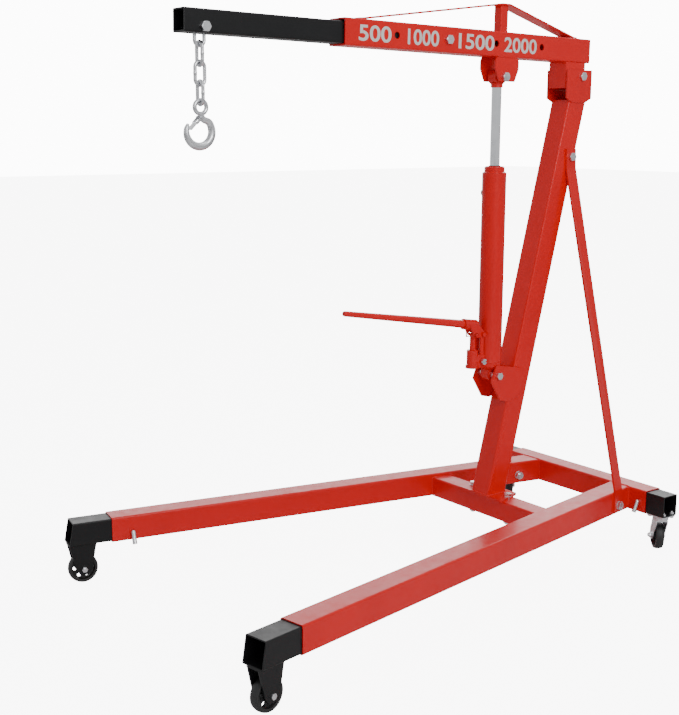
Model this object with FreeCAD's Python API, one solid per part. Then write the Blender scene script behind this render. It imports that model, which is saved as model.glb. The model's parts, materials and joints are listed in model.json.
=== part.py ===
import FreeCAD, Part
import math
import os

# Shop crane with splayed legs. Millimetres. +X forward along the boom, +Y to its left, +Z up, floor at Z = 0.
# Everything is laid out from the front face of the rear beam, then moved so that X = 0 is the middle.

# ---------------------------------------------------------------- driving dimensions
leg_width = 75.0            # square tube of the legs, outside
leg_wall = 3.0
tube_corner = 6.0           # outside corner radius of the large tubes
leg_bottom = 120.0          # height of the base frame's underside above the floor
leg_reach = 1490.0          # rear beam to the open end of a leg, along X
leg_inner_rear = 159.5      # inner face of a leg at the rear beam, from the centre line
splay_angle = 10.9          # each leg opens outwards by this angle

rear_beam_depth = 70.0
rear_beam_half = 304.5      # half the length of the rear beam
cross_front = 422.0         # front face of the cross member
cross_depth = 68.0
cross_height = 64.0

stub_clearance = 0.3        # play of a wheel stub in its tube, each side
stub_wall = 3.0
front_stub_out = 114.0      # how far a front stub stands out, at its top
front_stub_slant = 12.5     # its underside reaches this much further
front_stub_in = 160.0       # length held inside the leg
rear_stub_out = 70.0
rear_stub_in = 120.0
lock_pin_radius = 6.0       # cranked pins that hold the stubs
lock_grip_radius = 7.0
lock_grip_length = 36.0
lock_grip_slope = 65.0      # the grip hangs down by this angle
lock_elbow_out = 5.0
front_lock_z = 145.5        # heights of the pins
rear_lock_z = 155.5

post_width = 75.0
post_depth = 75.0
post_wall = 3.5
post_lean = 13.9            # the post leans back by this angle
post_foot_x = 397.0         # middle of the post at the top of its base plate
base_plate_thick = 8.0
base_plate_front = 436.0
base_plate_rear = 336.0
base_plate_front_half = 98.0
base_plate_rear_half = 64.0
base_bolt_y = 78.0

hinge_x = 84.5              # boom hinge
hinge_z = 1486.5
cheek_thick = 5.0
cheek_front = 150.0
cheek_rear = 40.0
cheek_top = 1506.0
cheek_bottom = 1407.0
cheek_chamfer = 13.0
post_top_front = 1415.0     # height of the post's sloping top at its front and rear edges
post_top_rear = 1447.0

boom_tilt = 0.9             # the boom points up by this angle as built
boom_width = 72.0
boom_wall = 4.5
boom_bottom = 42.0          # underside of the outer boom above the hinge
boom_rear = -37.0           # ends of the outer boom, from the hinge
boom_front = 916.0
boom_first_hole = 176.0     # lock holes of the outer boom, from the hinge
boom_hole_pitch = 187.3
boom_hole_count = 4
lock_hole_index = 2         # the hole that the lock bolt sits in
knuckle_rear = -19.0
knuckle_front = 66.0
knuckle_bottom = -37.5      # underside of the knuckle, from the hinge
knuckle_wall = 5.0

inner_width = 58.0
inner_wall = 4.0
inner_seat = 0.3            # play under the inner boom
inner_tip = 1396.0          # open end of the inner boom, from the hinge
inner_behind_lock = 62.0    # inner boom behind its lock hole
tip_bolt_back = 57.0        # chain bolt, back from the tip
tip_bolt_up = 15.0          # chain bolt, up from the underside of the inner boom
tip_slot_half_length = 42.0
tip_slot_half_width = 7.5

upright_size = 30.0
upright_wall = 2.5
upright_x = 315.0           # middle of the upright, from the hinge
upright_height = 77.0
strap_width = 45.0
strap_thick = 5.0
strap_rear = 24.0           # ends of the strap, from the hinge
strap_front = 846.0

jack_x = 407.5              # vertical axis of the jack
jack_low_z = 575.0          # lower pivot
jack_up_z = 1477.0          # upper pivot
jack_tube_radius = 36.5
jack_tube_wall = 3.5
jack_tube_bottom = 616.0
jack_tube_top = 1195.0
gland_radius = 30.5
gland_top = 1215.0
ram_radius = 15.0
ram_eye_radius = 22.0
ram_eye_width = 34.0
bore_radius = 24.0          # pressure tube of the jack, inside
piston_length = 34.0
ram_low_end = 880.0         # underside of the piston as built

clevis_thick = 6.0
clevis_up_half = 34.0       # outside of the upper clevis plates

pump_x = 480.0              # pump cylinder and plunger, beside the jack
pump_fulcrum_x = 452.0      # pin that the pump lever turns on
pump_pin_z = 706.0
pump_radius = 17.5
pump_top = 658.0
plunger_radius = 9.0
pump_pin_radius = 4.5
handle_rise = 9.0           # the handle points up by this angle as built
handle_length = 506.0
handle_root_radius = 12.5
handle_tip_radius = 8.0

wheel_radius = 44.5
wheel_half = 13.0
hub_half = 15.0
hub_radius = 15.0
wheel_bore = 8.05
web_hole_radius = 7.0
sleeve_radius = 8.0
front_axle_back = 44.0      # front axle, back from the lower end of the stub
front_fork_half = 16.0      # inside of the front fork's cheeks
fork_cheek = 5.0
caster_trail = 28.0
caster_fork_half = 15.6
caster_leg = 3.0
caster_aim = -126.5         # the rear wheels trail in this direction as built
caster_y = 340.0
race_radius = 25.0          # ball race between the caster's plate and fork
race_height = 12.7
race_ball = 3.0
caster_plate_thick = 4.0
kingpin_radius = 6.5

link_wire = 9.5             # chain
link_inner_width = 17.6
link_pitch = 47.6
link_play = 0.3
link_count = 4
hook_eye_hole = 11.0
hook_eye_wire = 5.6
hook_drop = 60.5            # middle of the hook's bowl, below its eye
hook_forward = 5.0          # and in front of it
hook_bowl = 36.5            # radius of the bowl's centre line

brace_width = 42.0
brace_thick = 6.0
brace_top_x = 120.0
brace_top_z = 1241.0
brace_foot_x = 72.0
brace_foot_z = 150.0

# hexagon bolts: shank radius, width across flats, head height
bolt_m18 = (9.0, 24.0, 10.0)
bolt_m16 = (8.0, 24.0, 10.0)
bolt_m14 = (7.0, 21.0, 9.0)
bolt_m12 = (6.0, 19.0, 7.5)
bolt_m10 = (5.0, 15.0, 6.0)
bolt_m8 = (4.0, 13.0, 5.3)
washer_thick = 2.5
washer_share = 0.58         # a washer's radius, as a share of the width across flats
hole_play = 0.25            # a bolt's hole is this much larger in radius
running_play = 0.05         # a turning fit

# ---------------------------------------------------------------- worked out from the above
leg_top = leg_bottom + leg_width
splay = math.radians(splay_angle)
lean = math.radians(post_lean)
cross_top = cross_height + leg_bottom
plate_top = cross_top + base_plate_thick
stub_width = leg_width - 2 * (leg_wall + stub_clearance)
stub_bottom = leg_bottom + leg_wall + stub_clearance
leg_length = leg_reach / math.cos(splay)
front_axle_out = front_stub_out + front_stub_slant - front_axle_back
lock_hole_x = boom_first_hole + lock_hole_index * boom_hole_pitch
inner_bottom = boom_bottom + boom_wall + inner_seat
tip_bolt_x = inner_tip - tip_bolt_back
tip_bolt_z = inner_bottom + tip_bolt_up

X, Y, Z = FreeCAD.Vector(1, 0, 0), FreeCAD.Vector(0, 1, 0), FreeCAD.Vector(0, 0, 1)


# ---------------------------------------------------------------- shapes
def at(x, y, z):
    return FreeCAD.Vector(x, y, z)


def block(x0, x1, y0, y1, z0, z1):
    return Part.makeBox(x1 - x0, y1 - y0, z1 - z0, at(x0, y0, z0))


def pin(start, direction, radius, length):
    return Part.makeCylinder(radius, length, start, direction)


def pin_y(x, z, radius, y0, y1):
    return pin(at(x, y0, z), Y, radius, y1 - y0)


def join(*shapes):
    return shapes[0].multiFuse(list(shapes[1:])).removeSplitter()


def group(*shapes):
    return Part.makeCompound(list(shapes))


def turned(shape, centre, axis, angle):
    copy = shape.copy()
    copy.rotate(centre, axis, angle)
    return copy


def moved(shape, offset):
    copy = shape.copy()
    copy.translate(offset)
    return copy


def mirrored(shape):
    return shape.mirror(at(0, 0, 0), Y)


def plate(corners, y0, y1):
    """Flat plate from an outline of (x, z) corners, standing between y0 and y1."""
    wire = Part.makePolygon([at(x, y0, z) for x, z in corners + corners[:1]])
    return Part.Face(wire).extrude(at(0, y1 - y0, 0))


def rounded(solid, axis, radius):
    """Rounds the four long edges that run along axis."""
    edges = [e for e in solid.Edges if abs(abs(e.tangentAt(e.FirstParameter).dot(axis)) - 1) < 1e-6]
    return solid.makeFillet(radius, edges)


def bar_x(length, width, height, corner):
    """Solid bar along +X from the origin, centred on Y and Z."""
    return rounded(block(0, length, -width / 2, width / 2, -height / 2, height / 2), X, corner)


def tube_x(length, width, height, wall, corner):
    inside_corner = max(corner - wall, 1.0)
    inside = bar_x(length + 2, width - 2 * wall, height - 2 * wall, inside_corner)
    return bar_x(length, width, height, corner).cut(moved(inside, at(-1, 0, 0)))


def hexagon(across, height):
    """Hexagon along +Z from the origin, with its corners chamfered on the far end."""
    radius = across / math.sqrt(3)
    turns = [math.pi * k / 3 for k in range(7)]
    corners = [at(radius * math.cos(a), radius * math.sin(a), 0) for a in turns]
    prism = Part.Face(Part.makePolygon(corners)).extrude(Z * height)
    crown = 0.12 * across
    shoulder = at(0, 0, height - crown)
    chamfer = Part.makeCone(across / 2 + crown * 1.9, across / 2 - crown * 0.15, crown, shoulder, Z)
    return prism.common(join(pin(at(0, 0, 0), Z, radius + 1, height - crown), chamfer))


def along(shape, start, direction):
    """Places a shape that is built along +Z."""
    copy = shape.copy()
    copy.Placement = FreeCAD.Placement(start, FreeCAD.Rotation(Z, direction)).multiply(copy.Placement)
    return copy


def bolt(size, start, direction, grip, washers=True, nut=True):
    """Bolt whose head bears at start and whose nut bears grip further along direction."""
    shank_radius, across, head = size
    ring = washer_thick if washers else 0.0
    end = grip + ring + (0.85 * across * 0.6 + 4 if nut else 0)
    cap = moved(turned(hexagon(across, head), at(0, 0, 0), X, 180), at(0, 0, -ring))
    pieces = [along(join(pin(at(0, 0, -ring), Z, shank_radius, end + ring), cap), start, direction)]
    hole = pin(at(0, 0, -1), Z, shank_radius, across)
    if washers:
        disc = pin(at(0, 0, 0), Z, across * washer_share, ring).cut(hole)
        pieces.append(along(moved(disc, at(0, 0, -ring)), start, direction))
        pieces.append(along(moved(disc, at(0, 0, grip)), start, direction))
    if nut:
        body = hexagon(across, 0.85 * across * 0.6).cut(hole)
        pieces.append(along(moved(body, at(0, 0, grip + ring)), start, direction))
    return pieces


def leg_place(shape):
    """Moves a shape from the leg's own frame (X along the leg from the rear beam) to the left leg."""
    start = at(0, leg_inner_rear, 0) + at(-math.sin(splay), math.cos(splay), 0) * (leg_width / 2)
    copy = shape.copy()
    copy.Placement = FreeCAD.Placement(start, FreeCAD.Rotation(Z, splay_angle)).multiply(copy.Placement)
    return copy


def post_x(z):
    return post_foot_x - (z - plate_top) * math.tan(lean)


nodes = {}


# ---------------------------------------------------------------- base frame
def make_base():
    mid = leg_bottom + leg_width / 2
    inner_shift = leg_width / 2 * math.tan(splay)
    long_leg = moved(tube_x(leg_length + inner_shift + 60, leg_width, leg_width, leg_wall, tube_corner),
                     at(-60 - inner_shift, 0, mid))
    leg_solid = moved(bar_x(leg_length + 200, leg_width, leg_width, tube_corner), at(-100, 0, mid))
    behind = block(-200, 0, -600, 600, 0, 400)
    foot_hole = pin(at(foot_station(), -60, brace_foot_z), Y, bolt_m16[0] + hole_play, 120)
    leg = leg_place(long_leg.cut(foot_hole)).cut(behind)
    leg = leg.cut(lock_pin_hole_front())
    nodes["left_leg"] = leg
    nodes["right_leg"] = mirrored(leg)

    beam = tube_x(2 * rear_beam_half, rear_beam_depth, leg_width, leg_wall, tube_corner)
    beam = turned(beam, at(0, 0, 0), Z, 90)
    beam = moved(beam, at(-rear_beam_depth / 2, -rear_beam_half, mid))
    rear_hole = lock_pin_hole_rear()
    nodes["rear_beam"] = beam.cut(rear_hole).cut(mirrored(rear_hole))

    cross = turned(tube_x(800, cross_depth, cross_height, leg_wall, tube_corner - 1), at(0, 0, 0), Z, 90)
    cross = moved(cross, at(cross_front - cross_depth / 2, -400, leg_bottom + cross_height / 2))
    left = leg_place(leg_solid)
    cross = cross.cut(left).cut(mirrored(left))
    cross = max(cross.Solids, key=lambda s: s.Volume)
    for side in (-1, 1):
        cross = cross.cut(pin(at(base_bolt_x(), side * base_bolt_y, 0), Z, bolt_m14[0] + hole_play, 400))
    nodes["cross_member"] = cross


def base_bolt_x():
    return cross_front - cross_depth / 2


def foot_station():
    return (brace_foot_x + leg_width * math.sin(splay)) / math.cos(splay)


def rear_lock_y():
    return rear_beam_half - 28.0


def lock_station():
    return leg_length - 62.0


def lock_pin_hole_front():
    """Hole for the front stub's lock pin, in the inner wall of the left leg."""
    hole = pin(at(lock_station(), 0, front_lock_z), -Y, lock_pin_radius + hole_play, 60)
    return leg_place(hole)


def lock_pin_hole_rear():
    """Hole for the rear stub's lock pin, in the front wall of the rear beam."""
    return pin(at(-rear_beam_depth / 2, rear_lock_y(), rear_lock_z), X, lock_pin_radius + hole_play, 60)


def make_lock_pins():
    """Cranked pins: a straight end through tube and stub, and a thicker grip that hangs down."""
    elbow = at(0, 0, lock_elbow_out)
    slope = math.radians(lock_grip_slope)
    down = at(0, -math.sin(slope), math.cos(slope))
    grip = pin(elbow, down, lock_grip_radius, lock_grip_length)
    body = join(pin(at(0, 0, -16), Z, lock_pin_radius, 16 + lock_elbow_out),
                Part.makeSphere(lock_grip_radius, elbow), grip)
    body = body.cut(pin(at(0, 0, 0), -Z, 40, 40).cut(pin(at(0, 0, 0), -Z, lock_pin_radius, 40)))
    # built along +Z with its grip towards -Y: stood up so that -Y becomes down
    upright = turned(turned(body, at(0, 0, 0), X, 90), at(0, 0, 0), Z, 180)
    rear = moved(turned(upright, at(0, 0, 0), Z, -90), at(0, rear_lock_y(), rear_lock_z))
    mouth = at(lock_station(), -leg_width / 2, front_lock_z)
    front = leg_place(moved(turned(upright, at(0, 0, 0), Z, 180), mouth))
    nodes["stub_lock_pins"] = group(front, mirrored(front), rear, mirrored(rear))


# ---------------------------------------------------------------- wheel stubs, forks and wheels
def make_stubs():
    mid = leg_bottom + leg_width / 2
    length = front_stub_in + front_stub_out + front_stub_slant
    corner = tube_corner - 2.5
    start = leg_length - front_stub_in
    stub = moved(tube_x(length, stub_width, stub_width, stub_wall, corner), at(start, 0, mid))
    end = leg_length + front_stub_out
    half = stub_width / 2
    slope = [(end, mid + half), (end + 60, mid + half + 5), (end + 60, mid - half - 5),
             (end + front_stub_slant, mid - half)]
    stub = stub.cut(plate(slope, -60, 60))
    stub = leg_place(stub).cut(lock_pin_hole_front())
    nodes["left_front_stub"] = stub
    nodes["right_front_stub"] = mirrored(stub)

    length = rear_stub_in + rear_stub_out
    depth = rear_beam_depth - 2 * (leg_wall + stub_clearance)
    stub = turned(tube_x(length, depth, stub_width, stub_wall, corner), at(0, 0, 0), Z, 90)
    stub = moved(stub, at(-rear_beam_depth / 2, rear_beam_half - rear_stub_in, mid))
    stub = stub.cut(lock_pin_hole_rear())
    for x, y in plate_bolt_places():
        stub = stub.cut(pin(at(x, y, 0), Z, bolt_m8[0] + hole_play, mid))
    nodes["left_rear_stub"] = stub
    nodes["right_rear_stub"] = mirrored(stub)


def plate_bolt_places():
    middle = -rear_beam_depth / 2
    return [(middle + i * 20.0, caster_y + j * 26.0) for i in (-1, 1) for j in (-1, 1)]


def make_wheel():
    """Wheel about the Y axis: domed tread, thin web and a wide hub."""
    rim, web = 33.5, 4.0
    half_outline = [(wheel_bore, hub_half), (hub_radius, hub_half), (hub_radius + 1.5, web),
                    (rim - 2, web), (rim, wheel_half - 1), (wheel_radius - 5, wheel_half),
                    (wheel_radius - 2.2, wheel_half - 1.2)]
    points = [at(r, -y, 0) for r, y in half_outline] + [at(r, y, 0) for r, y in reversed(half_outline)]
    edges = [Part.makeLine(a, b) for a, b in zip(points[:7], points[1:7])]
    edges.append(Part.Arc(points[6], at(wheel_radius, 0, 0), points[7]).toShape())
    edges += [Part.makeLine(a, b) for a, b in zip(points[7:], points[8:] + points[:1])]
    wheel = Part.Face(Part.Wire(edges)).revolve(at(0, 0, 0), Y, 360)
    holes = 6
    for k in range(holes):
        angle = 2 * math.pi * k / holes
        middle = (hub_radius + rim) / 2
        x, z = middle * math.cos(angle), middle * math.sin(angle)
        wheel = wheel.cut(pin_y(x, z, web_hole_radius, -10, 10))
    return wheel


def make_front_casters():
    x = leg_length + front_axle_out
    spin = at(x, 0, wheel_radius)
    top = stub_bottom
    outer = front_fork_half + fork_cheek
    rear_top, front_top, side = 39.0, front_axle_back - 1.0, 24.0
    cheek = [(x - rear_top, top), (x + front_top, top), (x + side, wheel_radius), (x + 12, wheel_radius - 17),
             (x - 12, wheel_radius - 17), (x - side, wheel_radius)]
    fork = join(plate(cheek, front_fork_half, outer), plate(cheek, -outer, -front_fork_half),
                block(x - rear_top, x + front_top, -outer, outer, top - 5, top))
    fork = fork.cut(pin_y(x, wheel_radius, bolt_m10[0] + hole_play, -60, 60))
    fork = leg_place(fork)
    nodes["left_front_fork"] = fork
    nodes["right_front_fork"] = mirrored(fork)
    wheel = leg_place(moved(make_wheel(), spin))
    nodes["left_front_wheel"] = wheel
    nodes["right_front_wheel"] = mirrored(wheel)
    axle = axle_set(outer, front_fork_half)
    left = [leg_place(moved(piece, spin)) for piece in axle]
    nodes["front_axle_bolts"] = group(*(left + [mirrored(piece) for piece in left]))


def axle_set(outer, inner):
    """Axle bolt with its nut and the sleeve that the wheel turns on, about the Y axis at the origin."""
    sleeve = pin_y(0, 0, sleeve_radius, -inner, inner).cut(pin_y(0, 0, bolt_m10[0], -inner - 1, inner + 1))
    return bolt(bolt_m10, at(0, outer, 0), -Y, 2 * outer, washers=False) + [sleeve]


def make_rear_casters():
    x = -rear_beam_depth / 2
    plate_bottom = stub_bottom - caster_plate_thick
    top_plate = rounded(block(x - 31, x + 31, caster_y - 34, caster_y + 34, plate_bottom, stub_bottom), Z, 6)
    for bx, by in plate_bolt_places():
        top_plate = top_plate.cut(pin(at(bx, by, 0), Z, bolt_m8[0] + hole_play, 200))
    top_plate = top_plate.cut(pin(at(x, caster_y, 0), Z, kingpin_radius, 200))
    nodes["caster_top_plates"] = group(top_plate, mirrored(top_plate))

    bolts = []
    wall_top = stub_bottom + stub_wall
    for bx, by in plate_bolt_places():
        bolts += bolt(bolt_m8, at(bx, by, plate_bottom), Z, wall_top - plate_bottom, washers=False)
    nodes["caster_plate_bolts"] = group(*(bolts + [mirrored(b) for b in bolts]))

    # the upper race hangs under the plate; balls run between it and the fork's crown
    ball = race_ball
    under_crown = plate_bottom - race_height - caster_leg
    race = pin(at(x, caster_y, plate_bottom - 6.5), Z, race_radius, 6.5)
    race = race.cut(pin(at(x, caster_y, 0), Z, kingpin_radius, 200))
    groove = Part.makeTorus(18.0, ball + 0.1, at(x, caster_y, plate_bottom - 6.5), Z)
    race = race.cut(groove)
    flange_top = under_crown - 0.3
    kingpin = join(pin(at(x, caster_y, flange_top - 2), Z, kingpin_radius, stub_bottom - flange_top + 1),
                   pin(at(x, caster_y, flange_top - 5), Z, 11.0, 5.0))
    first_ball = Part.makeSphere(ball, at(x + 18, caster_y, plate_bottom - 6.5))
    pieces = [race, kingpin]
    pieces += [turned(first_ball, at(x, caster_y, 0), Z, 30 * k) for k in range(12)]
    nodes["caster_races"] = group(*(pieces + [mirrored(piece) for piece in pieces]))

    # fork, built with its trail towards -X and then turned
    origin = at(0, 0, 0)
    cup_floor = plate_bottom - 6.5 - ball - 0.2
    lower_race = pin(at(0, 0, cup_floor - 3.0), Z, race_radius, 3.0 + 3.0)
    lower_race = lower_race.cut(pin(at(0, 0, cup_floor + 0.8), Z, race_radius - 1.5, 10))
    lower_race = join(lower_race, pin(at(0, 0, cup_floor - 3.0), Z, race_radius - 3, 3.5))
    lower_race = lower_race.cut(Part.makeTorus(18.0, ball + 0.1, at(0, 0, plate_bottom - 6.5), Z))
    outer = caster_fork_half + caster_leg
    crown_floor = plate_bottom - race_height
    crown = join(lower_race, block(-24, 22, -outer, outer, crown_floor - caster_leg, crown_floor))
    leg = [(-24, crown_floor), (22, crown_floor), (22, crown_floor - 8),
           (-caster_trail + 14, wheel_radius - 4),
           (-caster_trail + 6, wheel_radius - 13), (-caster_trail - 6, wheel_radius - 13),
           (-caster_trail - 14, wheel_radius - 2), (-caster_trail - 5, crown_floor - 16)]
    crown = join(crown, plate(leg, caster_fork_half, outer), plate(leg, -outer, -caster_fork_half))
    crown = crown.cut(pin(origin, Z, kingpin_radius + running_play, 200))
    crown = crown.cut(pin(at(0, 0, 0), Z, 11.3, crown_floor - caster_leg))
    crown = crown.cut(pin_y(-caster_trail, wheel_radius, bolt_m8[0] + 1 + hole_play, -60, 60))
    spin = at(-caster_trail, 0, wheel_radius)
    turn = caster_aim - 180.0

    def placed(shape, side):
        return moved(turned(shape, origin, Z, turn), at(x, side * caster_y, 0))

    axle_bolt = (bolt_m8[0] + 1, 16.0, 6.0)
    sleeve = pin_y(0, 0, sleeve_radius, -caster_fork_half, caster_fork_half)
    sleeve = sleeve.cut(pin_y(0, 0, axle_bolt[0], -60, 60))
    axle = bolt(axle_bolt, at(0, outer, 0), -Y, 2 * outer, washers=False) + [sleeve]
    for name, side in (("left", 1), ("right", -1)):
        nodes[name + "_caster_fork"] = placed(crown, side)
        nodes[name + "_rear_wheel"] = placed(moved(make_wheel(), spin), side)
        nodes[name + "_rear_axle"] = group(*[placed(moved(piece, spin), side) for piece in axle])


# ---------------------------------------------------------------- post, head and braces
def make_post():
    corners = [(base_plate_rear, base_plate_rear_half), (base_plate_front - 8, base_plate_front_half),
               (base_plate_front, base_plate_front_half - 8)]
    corners += [(x, -y) for x, y in reversed(corners)]
    wire = Part.makePolygon([at(x, y, cross_top) for x, y in corners + corners[:1]])
    foot = Part.Face(wire).extrude(at(0, 0, base_plate_thick))
    bolts = []
    for side in (-1, 1):
        foot = foot.cut(pin(at(base_bolt_x(), side * base_bolt_y, 0), Z, bolt_m14[0] + hole_play, 400))
        grip = cross_height + base_plate_thick
        bolts += bolt(bolt_m14, at(base_bolt_x(), side * base_bolt_y, plate_top), -Z, grip)
    nodes["post_base_plate"] = foot
    nodes["base_plate_bolts"] = group(*bolts)

    length = 1400.0
    tube = tube_x(length, post_width, post_depth, post_wall, tube_corner)
    tube = turned(moved(tube, at(-60, 0, 0)), at(0, 0, 0), Y, -90 - post_lean)
    tube = moved(tube, at(post_foot_x, 0, plate_top))
    below = block(0, 800, -100, 100, -100, plate_top)
    front_x, rear_x = post_x(post_top_front) + 38.6, post_x(post_top_rear) - 38.6
    slope = (post_top_rear - post_top_front) / (front_x - rear_x)
    above = plate([(front_x + 100, post_top_front - 100 * slope), (rear_x - 100, post_top_rear + 100 * slope),
                   (rear_x - 100, 2000), (front_x + 100, 2000)], -100, 100)
    tube = tube.cut(below).cut(above)
    tube = tube.cut(pin_y(brace_top_x, brace_top_z, bolt_m16[0] + hole_play, -100, 100))
    nodes["post"] = tube

    c = cheek_chamfer
    outline = [(cheek_front, cheek_top), (cheek_rear, cheek_top), (cheek_rear, cheek_bottom + c),
               (cheek_rear + 2 * c, cheek_bottom), (cheek_front - 2 * c, cheek_bottom),
               (cheek_front, cheek_bottom + c)]
    half = post_width / 2
    cheek = plate(outline, half, half + cheek_thick)
    cheek = cheek.cut(pin_y(hinge_x, hinge_z, bolt_m18[0] + hole_play, -100, 100))
    nodes["head_cheeks"] = group(cheek, mirrored(cheek))
    grip = post_width + 2 * cheek_thick
    nodes["boom_hinge_bolt"] = group(*bolt(bolt_m18, at(hinge_x, grip / 2, hinge_z), -Y, grip, washers=False))


def ribbon(sections):
    """Solid through a row of four-cornered sections, with flat triangular sides."""
    faces = []

    def face(*points):
        faces.append(Part.Face(Part.makePolygon(list(points) + [points[0]])))

    for near, far in zip(sections, sections[1:]):
        for k in range(4):
            a, b = near[k], near[(k + 1) % 4]
            c, d = far[(k + 1) % 4], far[k]
            face(a, b, c)
            face(a, c, d)
    for cap in (sections[0], sections[-1]):
        face(cap[0], cap[1], cap[2])
        face(cap[0], cap[2], cap[3])
    solid = Part.Solid(Part.Shell(faces))
    return solid if solid.Volume > 0 else solid.reversed()


def make_braces():
    """Flat bars, bent at both ends, from the post's sides to the outer faces of the legs."""
    half = post_width / 2
    outward = at(-math.sin(splay), math.cos(splay), 0)
    leg_run = at(math.cos(splay), math.sin(splay), 0)
    face_start = at(0, leg_inner_rear, 0) + outward * leg_width
    foot = face_start + leg_run * (brace_foot_x - face_start.x) * (1 / math.cos(splay))
    foot = at(foot.x, foot.y, brace_foot_z)
    top = at(brace_top_x, half, brace_top_z)
    back = (foot.x - top.x) / (top.z - foot.z)

    def section(centre, run, out):
        side = run * (brace_width / 2)
        skin = out * brace_thick
        return [centre - side, centre + side, centre + side + skin, centre - side + skin]

    def at_height(z, base, run, out):
        centre = at(base.x + (base.z - z) * back, base.y, z)
        slip = out.x * (centre.x - base.x) / max(out.y, 1e-6)
        return section(at(centre.x, base.y - slip, z), run, out)

    bend_top, bend_foot = top.z - 34, leg_top + 6
    sections = [at_height(top.z + 24, top, X, Y), at_height(bend_top, top, X, Y),
                at_height(bend_foot, foot, leg_run, outward), at_height(foot.z - 20, foot, leg_run, outward)]
    brace = ribbon(sections)
    brace = brace.cut(pin(top - Y, Y, bolt_m16[0] + hole_play, 20))
    brace = brace.cut(pin(foot - outward, outward, bolt_m16[0] + hole_play, 20))
    nodes["left_brace"] = brace
    nodes["right_brace"] = mirrored(brace)
    grip = post_width + 2 * brace_thick
    through = bolt(bolt_m16, at(brace_top_x, grip / 2, brace_top_z), -Y, grip, washers=False)
    foot_bolts = bolt(bolt_m16, foot + outward * brace_thick, outward * -1, leg_width + brace_thick)
    nodes["brace_bolts"] = group(*(through + foot_bolts + [mirrored(b) for b in foot_bolts]))
    return foot


# ---------------------------------------------------------------- boom, built level about its hinge
def boom_place(shape):
    return moved(turned(shape, at(0, 0, 0), Y, -boom_tilt), at(hinge_x, 0, hinge_z))


def boom_holes(width_half):
    return [pin_y(boom_first_hole + k * boom_hole_pitch, boom_bottom + boom_width / 2, bolt_m18[0] + hole_play,
                  -width_half - 20, width_half + 20) for k in range(boom_hole_count)]


def make_boom():
    half = boom_width / 2
    middle = boom_bottom + half
    outer = moved(tube_x(boom_front - boom_rear, boom_width, boom_width, boom_wall, tube_corner - 1.5),
                  at(boom_rear, 0, middle))
    for hole in boom_holes(half):
        outer = outer.cut(hole)
    nodes["outer_boom"] = boom_place(outer)

    knuckle = block(knuckle_rear, knuckle_front, -half + 1, half - 1, knuckle_bottom, boom_bottom)
    knuckle = knuckle.cut(block(knuckle_rear - 1, knuckle_front - knuckle_wall, -half + 1 + knuckle_wall,
                                half - 1 - knuckle_wall, knuckle_bottom + knuckle_wall, boom_bottom + 1))
    bush_radius = bolt_m18[0] + 5.0
    knuckle = knuckle.cut(pin_y(0, 0, bush_radius, -60, 60))
    nodes["boom_knuckle"] = boom_place(knuckle)
    bush = pin_y(0, 0, bush_radius, -half - 0.9, half + 0.9)
    bush = bush.cut(pin_y(0, 0, bolt_m18[0] + running_play, -60, 60))
    nodes["hinge_bush"] = boom_place(bush)

    up = upright_height
    top = boom_bottom + boom_width
    post = turned(tube_x(up, upright_size, upright_size, upright_wall, 3.0), at(0, 0, 0), Y, -90)
    nodes["boom_upright"] = boom_place(moved(post, at(upright_x, 0, top)))
    h = upright_size / 2
    t = strap_thick
    outline = [(strap_front, top), (upright_x + h, top + up), (upright_x - h, top + up), (strap_rear, top),
               (strap_rear - 14, top), (strap_rear - 14, top + t * 0.8), (strap_rear, top + t),
               (upright_x - h - 1, top + up + t), (upright_x + h + 1, top + up + t), (strap_front, top + t),
               (strap_front + 14, top + t * 0.8), (strap_front + 14, top)]
    nodes["boom_strap"] = boom_place(plate(outline, -strap_width / 2, strap_width / 2))


def make_upper_clevis():
    """Plates under the boom, and the two bolt halves that hold the ram between them."""
    middle = jack_x - hinge_x
    pivot_z = jack_up_z - hinge_z
    outline = [(275.0, boom_bottom), (267.5, boom_bottom - 11), (267.5, boom_bottom - 34),
               (283.0, boom_bottom - 70), (345.0, boom_bottom - 70), (362.0, boom_bottom - 34),
               (362.0, boom_bottom - 10), (357.0, boom_bottom)]
    inside = clevis_up_half - clevis_thick
    cheek = plate(outline, inside, clevis_up_half)
    tilt = math.radians(boom_tilt)
    px = middle * math.cos(tilt) + pivot_z * math.sin(tilt)
    pz = -middle * math.sin(tilt) + pivot_z * math.cos(tilt)
    cheek = cheek.cut(pin_y(px, pz, bolt_m16[0] + hole_play, -100, 100))
    nodes["jack_clevis_plates"] = boom_place(group(cheek, mirrored(cheek)))
    halves = half_bolt(bolt_m16, px, pz, clevis_up_half, inside - 2)
    lock_z = boom_bottom + boom_width / 2
    halves += half_bolt(bolt_m18, lock_hole_x, lock_z, boom_width / 2, inner_width / 2 + 1.5)
    nodes["boom_bolts"] = boom_place(group(*halves))


def half_bolt(size, x, z, outer, inner):
    """Head end and nut end of a cross bolt; the shank is left out between y = -inner and inner."""
    shank_radius, across, head = size
    head_end = join(pin_y(x, z, shank_radius, inner, outer + 1),
                    along(hexagon(across, head), at(x, outer, z), Y))
    nut_end = join(pin_y(x, z, shank_radius, -outer - head - 6, -inner),
                   along(hexagon(across, head), at(x, -outer, z), -Y))
    return [head_end, nut_end]


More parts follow.
